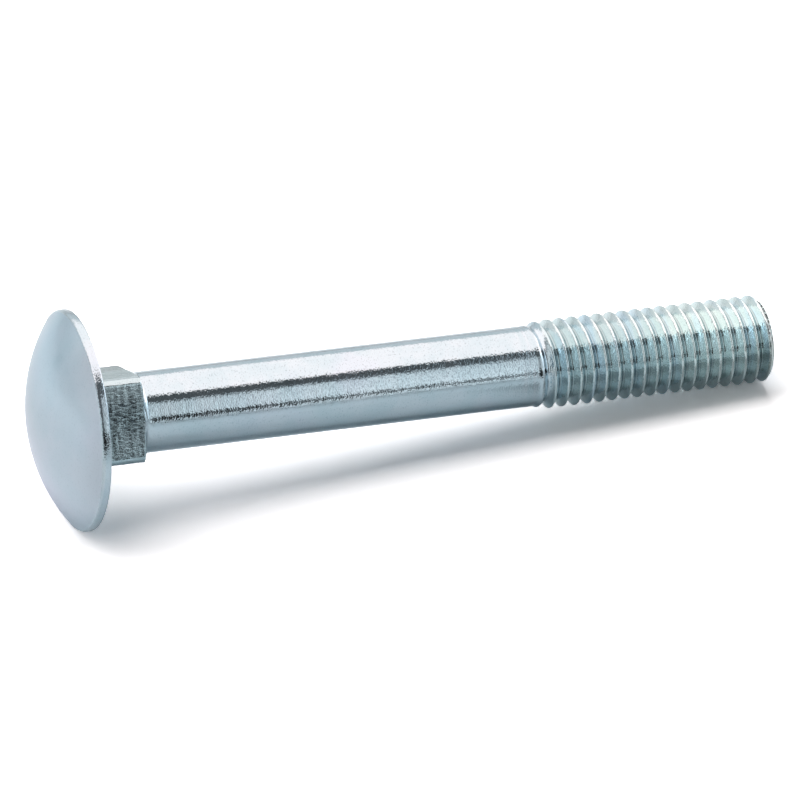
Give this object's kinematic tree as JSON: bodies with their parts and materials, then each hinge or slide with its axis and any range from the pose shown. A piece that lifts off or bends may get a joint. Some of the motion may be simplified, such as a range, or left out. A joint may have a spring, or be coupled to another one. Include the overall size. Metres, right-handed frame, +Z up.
{
  "type": "carriage bolt",
  "caption": "Bright zinc-plated steel carriage bolt with a domed head, a square neck, a plain round shank and a rolled thread at its end.",
  "frame": {"origin": "centre of the bounding box in X and Y, at the floor that the bolt lies on", "axes": "+Z up; +X from the domed head toward the threaded end, seen from above; the bolt's own axis dips toward its threaded end by the angle at which it lies"},
  "size_m": [0.0853, 0.0244, 0.0244],
  "materials": {
    "zinc_steel": "bright blue-white zinc plating, satin"
  },
  "bodies": {
    "root": {"carriage_bolt": "zinc_steel"}
  },
  "joints": []
}
